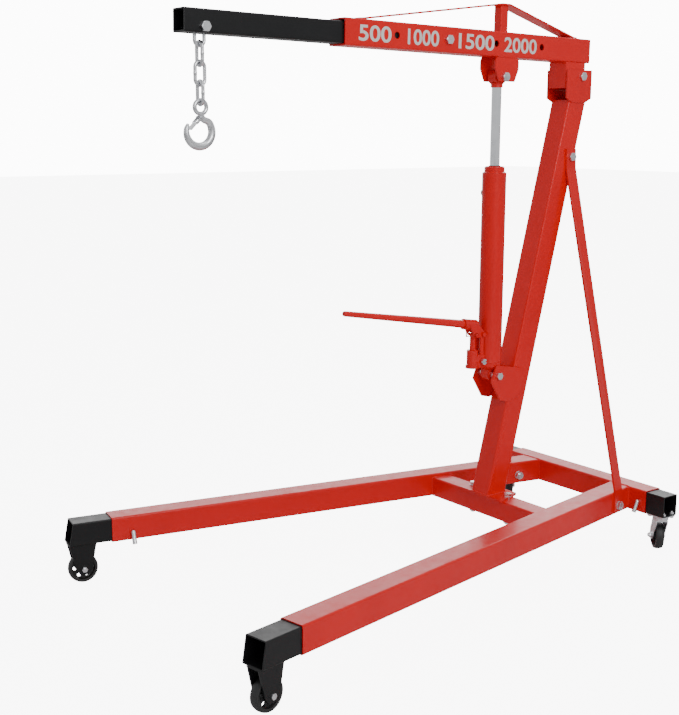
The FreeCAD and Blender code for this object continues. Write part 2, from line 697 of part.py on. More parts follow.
def make_inner_boom():
    rear = lock_hole_x - inner_behind_lock
    middle = inner_bottom + inner_width / 2
    tube = tube_x(inner_tip - rear, inner_width, inner_width, inner_wall, tube_corner - 1.5)
    tube = moved(tube, at(rear, 0, middle))
    tube = tube.cut(pin_y(lock_hole_x, boom_bottom + boom_width / 2, bolt_m18[0] + 1.0, -100, 100))
    tube = tube.cut(pin_y(tip_bolt_x, tip_bolt_z, bolt_m16[0] + hole_play, -100, 100))
    slot = block(tip_bolt_x - tip_slot_half_length, tip_bolt_x + tip_slot_half_length, -tip_slot_half_width,
                 tip_slot_half_width, inner_bottom - 5, inner_bottom + inner_wall + 1)
    nodes["inner_boom"] = boom_place(tube.cut(slot))
    half = inner_width / 2
    pieces = bolt(bolt_m16, at(tip_bolt_x, half, tip_bolt_z), -Y, inner_width, washers=False)
    spacer = pin_y(tip_bolt_x, tip_bolt_z, bolt_m16[0] + 2.5, link_wire / 2 + 1.0, half - inner_wall)
    spacer = spacer.cut(pin_y(tip_bolt_x, tip_bolt_z, bolt_m16[0], -60, 60))
    pieces += [spacer, mirrored(spacer)]
    nodes["chain_bolt"] = boom_place(group(*pieces))


# ---------------------------------------------------------------- chain and hook
def chain_top():
    """Point on the chain bolt's axis."""
    tilt = math.radians(boom_tilt)
    x = tip_bolt_x * math.cos(tilt) - tip_bolt_z * math.sin(tilt)
    z = tip_bolt_x * math.sin(tilt) + tip_bolt_z * math.cos(tilt)
    return at(hinge_x + x, 0, hinge_z + z)


def link():
    """Chain link in the XZ plane, with the inside of its upper bend at the origin and its length down."""
    r = link_wire / 2
    bend = link_inner_width / 2 + r
    reach = link_pitch + link_play
    top, low = -link_inner_width / 2, -reach + link_inner_width / 2
    legs = [pin(at(s * bend, 0, low), Z, r, top - low) for s in (-1, 1)]
    upper = half_ring(bend, r, top, 1)
    lower = half_ring(bend, r, low, -1)
    return join(legs[0], legs[1], upper, lower)


def half_ring(bend, r, z, side):
    ring = Part.makeTorus(bend, r, at(0, 0, 0), Y)
    keep = block(-60, 60, -20, 20, 0, 60) if side > 0 else block(-60, 60, -20, 20, -60, 0)
    return moved(ring.common(keep), at(0, 0, z))


def make_chain():
    start = chain_top() + Z * (bolt_m16[0] + link_play)
    inside = start
    for k in range(link_count):
        shape = link() if k % 2 == 0 else turned(link(), at(0, 0, 0), Z, 90)
        nodes["chain_link_%d" % (k + 1)] = moved(shape, inside)
        inside = inside - Z * link_pitch
    return inside


def hook_path(angle):
    turn = math.radians(angle)
    return at(hook_forward + hook_bowl * math.cos(turn), 0, -hook_drop + hook_bowl * math.sin(turn))


def make_hook(inside):
    """Eye hook in the XZ plane, its point to the front. The eye's middle is the origin while it is built."""
    eye = Part.makeTorus(hook_eye_hole + hook_eye_wire, hook_eye_wire, at(0, 0, 0), Y)
    centres = [at(1, 0, -15), at(-3, 0, -24), at(-12.5, 0, -32.5)]
    radii = [8.0, 8.2, 8.8]
    angles = [140, 165, 190, 215, 240, 265, 290, 315, 340, 360, 377, 386]
    for k, angle in enumerate(angles):
        share = k / (len(angles) - 1)
        centres.append(hook_path(angle))
        radii.append(9.2 + 1.6 * math.sin(math.pi * share) - 4.6 * share ** 3)
    wires = []
    for k, (centre, radius) in enumerate(zip(centres, radii)):
        tangent = centres[min(k + 1, len(centres) - 1)] - centres[max(k - 1, 0)]
        wires.append(Part.Wire(Part.makeCircle(radius, centre, tangent)))
    body = Part.makeLoft(wires, True, False)
    tip = Part.makeSphere(radii[-1], centres[-1])
    hook = join(eye, body, tip)
    pivot = at(3.0, 0, -26.0)
    hook = hook.cut(pin_y(pivot.x, pivot.z, 2.0, -40, 40))
    place = inside - Z * hook_eye_hole
    nodes["hook"] = moved(hook, place)

    # latch: a tongue between two ears that straddle the neck
    rests_on = -2
    reach = centres[rests_on] - pivot
    distance = reach.Length
    gap = radii[rests_on] + link_play + 2.5
    aim = math.degrees(math.atan2(reach.z, reach.x) - math.asin(gap / distance))
    ear_in, ear_out = 9.3, 11.3
    arms = []
    for y0, y1 in ((ear_in, ear_out), (-ear_out, -ear_in)):
        arms.append(join(pin_y(0, 0, 5.0, y0, y1), block(0, 20, y0, y1, -3.4, 3.4)))
    tongue = block(17, distance - 2, -ear_out, ear_out, -1.3, 1.3)
    latch = join(arms[0], arms[1], tongue)
    latch = latch.cut(pin_y(0, 0, 2.0 + running_play, -40, 40))
    latch = turned(latch, at(0, 0, 0), Y, -aim)
    nodes["hook_latch"] = moved(moved(latch, pivot), place)
    rivet = join(pin_y(0, 0, 2.0, -13.0, 13.0), pin_y(0, 0, 3.4, 11.6, 13.2), pin_y(0, 0, 3.4, -13.2, -11.6))
    nodes["latch_pin"] = moved(moved(rivet, pivot), place)
    return place, pivot + place


# ---------------------------------------------------------------- jack
def make_jack():
    axis = at(jack_x, 0, 0)
    r = jack_tube_radius
    tube = pin(axis + Z * jack_tube_bottom, Z, r, jack_tube_top - jack_tube_bottom)
    tube = tube.cut(pin(axis + Z * (jack_tube_bottom - 1), Z, r - jack_tube_wall, 2000))
    filler = at(jack_x, 0, jack_tube_top - 60)
    filler_angle = math.radians(-60)
    out = at(math.cos(filler_angle), math.sin(filler_angle), 0)
    tube = tube.cut(pin(filler, out, 5.0, 60))
    pressure_length = jack_tube_top - jack_tube_bottom - 12
    pressure = pin(axis + Z * (jack_tube_bottom + 6), Z, bore_radius + 3.0, pressure_length)
    pressure = pressure.cut(pin(axis, Z, bore_radius, 3000))
    nodes["jack_tube"] = group(tube, pressure)
    head = pin(filler + out * (r - 2), out, 7.5, 4.5).cut(pin(axis, Z, r, 3000))
    stem = pin(filler + out * (r - jack_tube_wall - 1), out, 5.0, jack_tube_wall + 2)
    nodes["filler_plug"] = join(stem, head)

    # base: foot of the tubes, ear for the lower pivot, pump block and link bosses
    ear_half = 17.0
    foot = pin(axis + Z * (jack_tube_bottom - 14), Z, r, 14)
    foot = join(foot, pin(axis + Z * jack_tube_bottom, Z, r - jack_tube_wall, 6))
    taper = Part.makeCone(ear_half, r, 16, axis + Z * (jack_low_z + 13), Z)
    ear = join(pin_y(jack_x, jack_low_z, 20.0, -ear_half, ear_half),
               block(jack_x - 18, jack_x + 18, -ear_half, ear_half, jack_low_z, jack_tube_bottom - 2))
    arm = block(jack_x, pump_x, -15, 15, jack_tube_bottom - 14, jack_tube_bottom + 26)
    pump = join(pin(at(pump_x, 0, jack_tube_bottom - 14), Z, pump_radius + 3, 9),
                pin(at(pump_x, 0, jack_tube_bottom - 8), Z, pump_radius, pump_top - jack_tube_bottom + 8))
    arm = arm.cut(pin(axis + Z * jack_tube_bottom, Z, r, 60))
    base = join(foot, taper, ear, arm, pump)
    ears = []
    for side in (-1, 1):
        y0, y1 = (9.0, 13.0) if side > 0 else (-13.0, -9.0)
        outline = [(pump_fulcrum_x - 7, jack_tube_bottom + 26), (pump_fulcrum_x + 7, jack_tube_bottom + 26),
                   (pump_fulcrum_x + 7, pump_pin_z), (pump_fulcrum_x - 7, pump_pin_z)]
        ears.append(join(plate(outline, y0, y1), pin_y(pump_fulcrum_x, pump_pin_z, 7.0, y0, y1)))
    base = base.cut(pin_y(jack_x, jack_low_z, bolt_m14[0] + running_play, -60, 60))
    base = base.cut(pin(at(pump_x, 0, jack_tube_bottom + 4), Z, plunger_radius + running_play, 200))
    valve = at(pump_fulcrum_x, 15, jack_tube_bottom + 6)
    base = base.cut(pin(valve + Y, -Y, 5.0 + running_play, 12))
    nodes["jack_base"] = base
    ears = [piece.cut(pin_y(pump_fulcrum_x, pump_pin_z, pump_pin_radius, -60, 60)) for piece in ears]
    fulcrum = join(pin_y(pump_fulcrum_x, pump_pin_z, pump_pin_radius, -22.0, 22.0),
                   pin_y(pump_fulcrum_x, pump_pin_z, 7.0, 20.6, 23.6),
                   pin_y(pump_fulcrum_x, pump_pin_z, 7.0, -23.6, -20.6))
    nodes["pump_links"] = group(*(ears + [fulcrum]))
    stem = join(pin(valve - Y * 9, Y, 5.0, 12), pin(valve + Y * 2, Y, 9.0, 10))
    stem = stem.cut(block(valve.x - 12, valve.x + 12, valve.y + 7, valve.y + 14, valve.z - 2.0, valve.z + 2.0))
    nodes["release_valve"] = stem

    cap = join(pin(axis + Z * jack_tube_top, Z, gland_radius, gland_top - jack_tube_top - 4),
               Part.makeCone(gland_radius, gland_radius - 4, 4, axis + Z * (gland_top - 4), Z),
               pin(axis + Z * (jack_tube_top - 6), Z, r - jack_tube_wall, 6),
               pin(axis + Z * (jack_tube_top - 30), Z, bore_radius, 30))
    skirt = Part.makeCone(r, gland_radius, 4, axis + Z * jack_tube_top, Z)
    cap = join(cap, skirt).cut(pin(axis, Z, ram_radius + running_play, 3000))
    nodes["gland_nut"] = cap


def make_ram():
    axis = at(jack_x, 0, 0)
    eye_low = jack_up_z - ram_eye_radius
    rod = pin(axis + Z * (ram_low_end + 6), Z, ram_radius, eye_low - ram_low_end)
    half = ram_eye_width / 2
    collar = pin(axis + Z * (eye_low - 8), Z, ram_radius + 3.0, 12)
    eye = pin_y(jack_x, jack_up_z, ram_eye_radius, -half, half)
    ram = join(rod, collar, eye)
    ram = ram.cut(pin_y(jack_x, jack_up_z, bolt_m16[0] + 0.6, -60, 60))
    nodes["ram"] = ram
    piston = pin(axis + Z * ram_low_end, Z, bore_radius - running_play, piston_length)
    piston = piston.cut(pin(axis + Z * (ram_low_end + 6), Z, ram_radius, 200))
    nodes["ram_piston"] = piston


def make_lower_clevis():
    half = post_width / 2
    front_edge = [(417.0, 608.0), (437.0, 558.0), (398.0, 496.0), (368.0, 489.0)]
    rear_edge = [(318.0, 500.0), (296.0, 574.0), (306.0, 590.0)]
    cheek = plate(front_edge + rear_edge, half, half + clevis_thick)
    cheek = cheek.cut(pin_y(jack_x, jack_low_z, bolt_m14[0] + hole_play, -100, 100))
    nodes["lower_clevis_plates"] = group(cheek, mirrored(cheek))
    grip = post_width + 2 * clevis_thick
    pieces = bolt(bolt_m14, at(jack_x, grip / 2, jack_low_z), -Y, grip, washers=False)
    spacer = pin_y(jack_x, jack_low_z, bolt_m14[0] + 4.5, 17.3, half)
    spacer = spacer.cut(pin_y(jack_x, jack_low_z, bolt_m14[0], -60, 60))
    pieces += [spacer, mirrored(spacer)]
    nodes["lower_clevis_bolt"] = group(*pieces)


# ---------------------------------------------------------------- pump
def make_pump():
    slot_play = 1.6
    arm = pump_x - pump_fulcrum_x
    inner, outer = 13.4, 17.4
    low = jack_tube_bottom + 26
    plunger = join(pin(at(pump_x, 0, low), Z, plunger_radius, pump_pin_z - 10 - low),
                   block(pump_x - 7, pump_x + 7, -5.5, 5.5, pump_pin_z - 14, pump_pin_z),
                   pin_y(pump_x, pump_pin_z, 7.0, -5.5, 5.5),
                   pin_y(pump_x, pump_pin_z, pump_pin_radius, -outer - 3, outer + 3))
    nodes["pump_plunger"] = plunger

    # lever about the fulcrum: two cheeks that carry the socket above them
    rise, socket_start = 26.0, 18.0
    outline = [(0, -8), (arm + 13, -8), (arm + 13, 8), (arm + 30, rise + 9), (socket_start, rise + 6), (-6, 5)]
    cheeks = []
    for y0, y1 in ((inner, outer), (-outer, -inner)):
        piece = join(plate(outline, y0, y1), pin_y(0, 0, 8.0, y0, y1))
        piece = piece.cut(pin_y(0, 0, pump_pin_radius + running_play, -60, 60))
        slot = block(arm - 2, arm + 6, -60, 60, -pump_pin_radius - slot_play, pump_pin_radius + slot_play)
        slot = join(slot, pin_y(arm - 2, 0, pump_pin_radius + slot_play, -60, 60),
                    pin_y(arm + 6, 0, pump_pin_radius + slot_play, -60, 60))
        cheeks.append(piece.cut(slot))
    socket_radius = handle_root_radius + 4.0
    bore = handle_root_radius + 0.15
    socket = turned(pin(at(socket_start, 0, 0), X, socket_radius, 52), at(0, 0, 0), Y, -handle_rise)
    lever = join(cheeks[0], cheeks[1], moved(socket, at(0, 0, rise)))
    hole = turned(pin(at(socket_start + 5, 0, 0), X, bore, 200), at(0, 0, 0), Y, -handle_rise)
    lever = lever.cut(moved(hole, at(0, 0, rise)))
    fulcrum = at(pump_fulcrum_x, 0, pump_pin_z)
    nodes["handle_socket"] = moved(lever, fulcrum)

    start = socket_start + 5
    root = 52.0
    taper = handle_length - root
    end = start + root + taper - 4
    rod = join(pin(at(start, 0, 0), X, handle_root_radius, root),
               Part.makeCone(handle_root_radius, handle_tip_radius, taper - 4, at(start + root, 0, 0), X),
               Part.makeCone(handle_tip_radius, handle_tip_radius - 1.5, 4, at(end, 0, 0), X))
    rod = turned(rod, at(0, 0, 0), Y, -handle_rise)
    nodes["pump_handle"] = moved(moved(rod, at(0, 0, rise)), fulcrum)


make_base()
make_lock_pins()
make_stubs()
make_front_casters()
make_rear_casters()
make_post()
brace_foot = make_braces()
make_boom()
make_upper_clevis()
make_inner_boom()
chain_end = make_chain()
hook_place, latch_pivot = make_hook(chain_end)
make_jack()
make_ram()
make_lower_clevis()
make_pump()

# ---------------------------------------------------------------- origin under the middle, and export
extent = FreeCAD.BoundBox()
for shape in nodes.values():
    extent.add(shape.optimalBoundingBox(False))
frame_shift = -(extent.XMin + extent.XMax) / 2

os.makedirs("parts", exist_ok=True)
for name, shape in nodes.items():
    placed_shape = moved(shape, at(frame_shift, 0, 0))
    placed_shape.exportStep(os.path.join("parts", name + ".step"))
    print(name, len(placed_shape.Solids), placed_shape.isValid(), round(placed_shape.Volume))
print("shift", round(frame_shift, 3), "length", round(extent.XLength, 1), "width", round(extent.YLength, 1),
      "height", round(extent.ZLength, 1), "lowest", round(extent.ZMin, 3), "nodes", len(nodes))
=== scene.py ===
import json
import math
import bpy
import bmesh
from mathutils import Matrix, Quaternion, Vector


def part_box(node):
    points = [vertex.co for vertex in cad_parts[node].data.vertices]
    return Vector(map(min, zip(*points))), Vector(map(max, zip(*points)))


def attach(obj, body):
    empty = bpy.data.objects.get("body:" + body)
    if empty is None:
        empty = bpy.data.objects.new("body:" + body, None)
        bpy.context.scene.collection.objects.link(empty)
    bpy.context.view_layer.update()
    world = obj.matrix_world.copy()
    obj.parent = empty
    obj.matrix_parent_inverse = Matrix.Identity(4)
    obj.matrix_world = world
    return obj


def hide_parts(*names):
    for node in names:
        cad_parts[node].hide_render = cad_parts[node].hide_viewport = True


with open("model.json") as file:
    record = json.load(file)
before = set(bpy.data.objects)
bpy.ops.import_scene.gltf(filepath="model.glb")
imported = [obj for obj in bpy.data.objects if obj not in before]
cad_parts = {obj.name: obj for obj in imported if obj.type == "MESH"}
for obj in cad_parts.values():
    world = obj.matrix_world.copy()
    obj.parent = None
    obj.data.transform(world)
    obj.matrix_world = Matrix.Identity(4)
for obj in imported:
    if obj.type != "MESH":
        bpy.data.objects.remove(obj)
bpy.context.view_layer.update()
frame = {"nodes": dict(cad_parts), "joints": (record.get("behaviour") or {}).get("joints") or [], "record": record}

nodes = frame["nodes"]
jointList = {joint["name"]: joint for joint in frame["joints"]}
print("frame loaded:", len(nodes), "nodes")


# node tree helpers
def newGroup(name, kind, sockets):
    tree = bpy.data.node_groups.new(name, kind)
    for label, direction, socketType, value in sockets:
        socket = tree.interface.new_socket(name=label, in_out=direction,
                                           socket_type="NodeSocket" + socketType)
        if value is not None:
            socket.default_value = value
    return tree


def put(tree, kind, place=(0, 0), settings=None, **values):
    node = tree.nodes.new(kind)
    node.location = place
    for key, value in (settings or {}).items():
        setattr(node, key, value)
    for key, value in values.items():
        numbered = key.startswith("in") and key[2:].isdigit()  # in0 is the first input
        socket = node.inputs[int(key[2:]) if numbered else key.replace("_", " ")]
        if isinstance(value, bpy.types.NodeSocket):
            tree.links.new(value, socket)
        else:
            socket.default_value = value
    return node


def mathNode(tree, operation, a, b=None, place=(0, 0), clamp=False):
    node = put(tree, "ShaderNodeMath", place, {"operation": operation, "use_clamp": clamp}, in0=a)
    if b is not None:
        if isinstance(b, bpy.types.NodeSocket):
            tree.links.new(b, node.inputs[1])
        else:
            node.inputs[1].default_value = b
    return node.outputs[0]


def mixColors(tree, mask, a, b, place=(0, 0), blend="MIX"):
    node = tree.nodes.new("ShaderNodeMix")
    node.data_type = "RGBA"
    node.blend_type = blend
    node.location = place
    for index, value in ((0, mask), (6, a), (7, b)):
        if isinstance(value, bpy.types.NodeSocket):
            tree.links.new(value, node.inputs[index])
        else:
            node.inputs[index].default_value = value
    return node.outputs[2]


def remap(tree, value, low, high, toLow=0.0, toHigh=1.0, place=(0, 0)):
    node = put(tree, "ShaderNodeMapRange", place, None, Value=value, From_Min=low, From_Max=high,
               To_Min=toLow, To_Max=toHigh)
    return node.outputs[0]


# shared surface effects
rubLook = {"bevelSamples": 4, "edgeRange": (0.90, 0.998), "patchDetail": 5.0,
           "patchRoughness": 0.65, "patchRange": (0.50, 0.66)}


def makeEdgeFinish(look):
    # softens hard edges and gives a mask of where they are rubbed
    tree = newGroup("edgeFinish", "ShaderNodeTree", [
        ("Edge Radius", "INPUT", "Float", 0.0015),
        ("Wear Amount", "INPUT", "Float", 0.4),
        ("Wear Scale", "INPUT", "Float", 60.0),
        ("Normal", "OUTPUT", "Vector", None),
        ("Wear", "OUTPUT", "Float", None)])
    given = put(tree, "NodeGroupInput", (-900, 0)).outputs
    coords = put(tree, "ShaderNodeTexCoord", (-900, -300)).outputs["Object"]
    bevel = put(tree, "ShaderNodeBevel", (-650, 150), {"samples": look["bevelSamples"]},
                Radius=given["Edge Radius"])
    facing = put(tree, "ShaderNodeNewGeometry", (-650, -50)).outputs["Normal"]
    dot = put(tree, "ShaderNodeVectorMath", (-450, 50), {"operation": "DOT_PRODUCT"},
              in0=bevel.outputs[0], in1=facing)
    edge = remap(tree, dot.outputs["Value"], *look["edgeRange"], 1.0, 0.0, (-250, 50))
    rub = put(tree, "ShaderNodeTexNoise", (-650, -300), None, Vector=coords,
              Scale=given["Wear Scale"], Detail=look["patchDetail"],
              Roughness=look["patchRoughness"])
    patches = remap(tree, rub.outputs[0], *look["patchRange"], 0.0, 1.0, (-450, -300))
    worn = mathNode(tree, "MULTIPLY", edge, patches, (-50, 0))
    worn = mathNode(tree, "MULTIPLY", worn, given["Wear Amount"], (120, 0), True)
    out = put(tree, "NodeGroupOutput", (320, 0))
    tree.links.new(bevel.outputs[0], out.inputs["Normal"])
    tree.links.new(worn, out.inputs["Wear"])
    return tree


sprayLook = {"driftScale": 5.0, "driftDetail": 3.0, "driftRange": (0.35, 0.7), "driftShare": 0.45,
             "cloudScale": 38.0, "cloudDetail": 6.0, "cloudRoughness": 0.6,
             "cloudRange": (0.3, 0.75), "glossRange": (-0.04, 0.12), "peelDetail": 2.0,
             "nibScale": 420.0, "nibSize": 0.10, "nibHeight": 0.35}


def makePaintSkin(look):
    # sprayed enamel: slow drift of tone, fine dust nibs and orange peel
    tree = newGroup("paintSkin", "ShaderNodeTree", [
        ("Paint", "INPUT", "Color", (0.6, 0.01, 0.01, 1)),
        ("Thin Paint", "INPUT", "Color", (0.4, 0.01, 0.01, 1)),
        ("Peel Scale", "INPUT", "Float", 260.0),
        ("Gloss", "INPUT", "Float", 0.25),
        ("Color", "OUTPUT", "Color", None),
        ("Roughness", "OUTPUT", "Float", None),
        ("Height", "OUTPUT", "Float", None)])
    given = put(tree, "NodeGroupInput", (-1000, 0)).outputs
    coords = put(tree, "ShaderNodeTexCoord", (-1000, -300)).outputs["Object"]
    drift = put(tree, "ShaderNodeTexNoise", (-750, 250), None, Vector=coords,
                Scale=look["driftScale"], Detail=look["driftDetail"])
    cloud = put(tree, "ShaderNodeTexNoise", (-750, 0), None, Vector=coords,
                Scale=look["cloudScale"], Detail=look["cloudDetail"],
                Roughness=look["cloudRoughness"])
    peel = put(tree, "ShaderNodeTexNoise", (-750, -250), None, Vector=coords,
               Scale=given["Peel Scale"], Detail=look["peelDetail"])
    nibs = put(tree, "ShaderNodeTexVoronoi", (-750, -500), None, Vector=coords,
               Scale=look["nibScale"])
    tone = remap(tree, drift.outputs[0], *look["driftRange"], 0.0, look["driftShare"], (-500, 250))
    color = mixColors(tree, tone, given["Paint"], given["Thin Paint"], (-250, 250))
    speck = remap(tree, nibs.outputs["Distance"], 0.0, look["nibSize"], 1.0, 0.0, (-500, -500))
    roughCloud = remap(tree, cloud.outputs[0], *look["cloudRange"], *look["glossRange"], (-500, 0))
    rough = mathNode(tree, "ADD", given["Gloss"], roughCloud, (-250, 0), True)
    high = mathNode(tree, "MULTIPLY", speck, look["nibHeight"], (-250, -500))
    high = mathNode(tree, "ADD", high, peel.outputs[0], (-50, -250))
    out = put(tree, "NodeGroupOutput", (150, 0))
    tree.links.new(color, out.inputs["Color"])
    tree.links.new(rough, out.inputs["Roughness"])
    tree.links.new(high, out.inputs["Height"])
    return tree


platingLook = {"crystalShare": 0.35, "bloomScale": 55.0, "bloomDetail": 5.0,
               "bloomRange": (0.35, 0.7), "bloomShare": 0.75, "drawnScale": 900.0,
               "drawnDetail": 3.0, "milkyRoughness": 0.16}


def makeZincSkin(look):
    # bright plating: faint crystal patches, a milky bloom and fine drawn lines
    tree = newGroup("zincSkin", "ShaderNodeTree", [
        ("Bright", "INPUT", "Color", (0.78, 0.79, 0.80, 1)),
        ("Milky", "INPUT", "Color", (0.55, 0.56, 0.58, 1)),
        ("Crystal Scale", "INPUT", "Float", 160.0),
        ("Polish", "INPUT", "Float", 0.24),
        ("Color", "OUTPUT", "Color", None),
        ("Roughness", "OUTPUT", "Float", None),
        ("Height", "OUTPUT", "Float", None)])
    given = put(tree, "NodeGroupInput", (-1000, 0)).outputs
    coords = put(tree, "ShaderNodeTexCoord", (-1000, -300)).outputs["Object"]
    crystal = put(tree, "ShaderNodeTexVoronoi", (-750, 250), None, Vector=coords,
                  Scale=given["Crystal Scale"])
    bloom = put(tree, "ShaderNodeTexNoise", (-750, 0), None, Vector=coords,
                Scale=look["bloomScale"], Detail=look["bloomDetail"])
    drawn = put(tree, "ShaderNodeTexNoise", (-750, -250), None, Vector=coords,
                Scale=look["drawnScale"], Detail=look["drawnDetail"])
    patch = put(tree, "ShaderNodeSeparateColor", (-550, 250), None,
                Color=crystal.outputs["Color"]).outputs[0]
    patch = mathNode(tree, "MULTIPLY", patch, look["crystalShare"], (-350, 250))
    cloud = remap(tree, bloom.outputs[0], *look["bloomRange"], 0.0, look["bloomShare"], (-550, 0))
    mask = mathNode(tree, "ADD", patch, cloud, (-200, 100), True)
    color = mixColors(tree, mask, given["Bright"], given["Milky"], (0, 200))
    rough = mathNode(tree, "MULTIPLY", mask, look["milkyRoughness"], (0, 0))
    rough = mathNode(tree, "ADD", rough, given["Polish"], (150, 0), True)
    out = put(tree, "NodeGroupOutput", (350, 0))
    tree.links.new(color, out.inputs["Color"])
    tree.links.new(rough, out.inputs["Roughness"])
    tree.links.new(drawn.outputs[0], out.inputs["Height"])
    return tree


edgeFinish = makeEdgeFinish(rubLook)
paintSkin = makePaintSkin(sprayLook)
zincSkin = makeZincSkin(platingLook)
print("surface effects built")


def startMaterial(name):
    material = bpy.data.materials.new(name)
    material.use_nodes = True
    tree = material.node_tree
    tree.nodes.clear()
    shader = put(tree, "ShaderNodeBsdfPrincipled", (300, 0))
    out = put(tree, "ShaderNodeOutputMaterial", (600, 0))
    tree.links.new(shader.outputs[0], out.inputs["Surface"])
    return material, tree, shader


def placeGroup(tree, group, place, **values):
    node = tree.nodes.new("ShaderNodeGroup")
    node.node_tree = group
    node.location = place
    for key, value in values.items():
        node.inputs[key.replace("_", " ")].default_value = value
    return node


def addRelief(tree, shader, height, normal, strength, distance, place=(50, -350)):
    bump = put(tree, "ShaderNodeBump", place, None, Strength=strength, Distance=distance,
               Height=height)
    if normal is not None:
        tree.links.new(normal, bump.inputs["Normal"])
    tree.links.new(bump.outputs[0], shader.inputs["Normal"])


def makePaint(name, look):
    material, tree, shader = startMaterial(name)
    skin = placeGroup(tree, paintSkin, (-500, 100), Paint=look["paint"],
                      Thin_Paint=look["thinPaint"], Peel_Scale=look["peelScale"],
                      Gloss=look["roughness"])
    edge = placeGroup(tree, edgeFinish, (-500, -250), Edge_Radius=look["edgeRadius"],
                      Wear_Amount=look["wear"])
    color = mixColors(tree, edge.outputs["Wear"], skin.outputs["Color"], look["rubbed"],
                      (-150, 100))
    tree.links.new(color, shader.inputs["Base Color"])
    rough = mathNode(tree, "MULTIPLY", edge.outputs["Wear"], look["rubbedRoughness"], (-300, -80))
    rough = mathNode(tree, "ADD", rough, skin.outputs["Roughness"], (-150, -80), True)
    tree.links.new(rough, shader.inputs["Roughness"])
    shader.inputs["IOR"].default_value = look["ior"]
    shader.inputs["Specular IOR Level"].default_value = look["specular"]
    shader.inputs["Coat Weight"].default_value = look["coat"]
    shader.inputs["Coat Roughness"].default_value = look["coatRoughness"]
    addRelief(tree, shader, skin.outputs["Height"], edge.outputs["Normal"], look["relief"],
              look["reliefDepth"])
    return material


def makeZinc(name, look):
    material, tree, shader = startMaterial(name)
    skin = placeGroup(tree, zincSkin, (-500, 100), Bright=look["bright"], Milky=look["milky"],
                      Crystal_Scale=look["crystalScale"], Polish=look["roughness"])
    edge = placeGroup(tree, edgeFinish, (-500, -250), Edge_Radius=look["edgeRadius"],
                      Wear_Amount=look["wear"], Wear_Scale=look["wearScale"])
    color = mixColors(tree, edge.outputs["Wear"], skin.outputs["Color"], look["rubbed"],
                      (-150, 100))
    tree.links.new(color, shader.inputs["Base Color"])
    tree.links.new(skin.outputs["Roughness"], shader.inputs["Roughness"])
    shader.inputs["Metallic"].default_value = 1.0
    addRelief(tree, shader, skin.outputs["Height"], edge.outputs["Normal"], look["relief"],
              look["reliefDepth"])
    return material


redLook = {"paint": (0.86, 0.0, 0.0, 1), "thinPaint": (0.70, 0.0, 0.0, 1),
           "rubbed": (0.30, 0.02, 0.015, 1), "peelScale": 240.0, "roughness": 0.36,
           "edgeRadius": 0.0016, "wear": 0.35, "coat": 0.22, "coatRoughness": 0.10, "relief": 0.08,
           "reliefDepth": 0.0004, "rubbedRoughness": 0.25, "ior": 1.5, "specular": 0.35}
blackLook = {"paint": (0.006, 0.006, 0.007, 1), "thinPaint": (0.012, 0.012, 0.013, 1),
             "rubbed": (0.12, 0.12, 0.12, 1), "peelScale": 420.0, "roughness": 0.36,
             "edgeRadius": 0.0014, "wear": 0.5, "coat": 0.06, "coatRoughness": 0.3, "relief": 0.12,
             "reliefDepth": 0.0004, "rubbedRoughness": 0.25, "ior": 1.5, "specular": 0.28}
zincLook = {"bright": (0.80, 0.81, 0.83, 1), "milky": (0.58, 0.59, 0.62, 1),
            "rubbed": (0.88, 0.88, 0.88, 1), "crystalScale": 170.0, "roughness": 0.20,
            "edgeRadius": 0.0007, "wear": 0.6, "wearScale": 120.0, "relief": 0.06,
            "reliefDepth": 0.0002}
steelLook = {"bright": (0.52, 0.52, 0.53, 1), "milky": (0.34, 0.34, 0.35, 1),
             "rubbed": (0.7, 0.7, 0.7, 1), "crystalScale": 60.0, "roughness": 0.30,
             "edgeRadius": 0.0005, "wear": 0.5, "wearScale": 120.0, "relief": 0.08,
             "reliefDepth": 0.0002}

redEnamel = makePaint("redEnamel", redLook)
blackSatin = makePaint("blackSatin", blackLook)
zincPlate = makeZinc("zincPlate", zincLook)
bareSteel = makeZinc("bareSteel", steelLook)

ramLook = {"eyeHeight": 0.0525, "rodColor": (0.84, 0.85, 0.87, 1),
           "oiledColor": (0.70, 0.72, 0.75, 1), "rodRoughness": 0.06, "oilScale": 30.0,
           "oilDetail": 4.0, "oilRange": (0.35, 0.7), "oilRoughness": 0.08, "edgeRadius": 0.0008,
           "relief": 0.1, "reliefDepth": 0.0004}


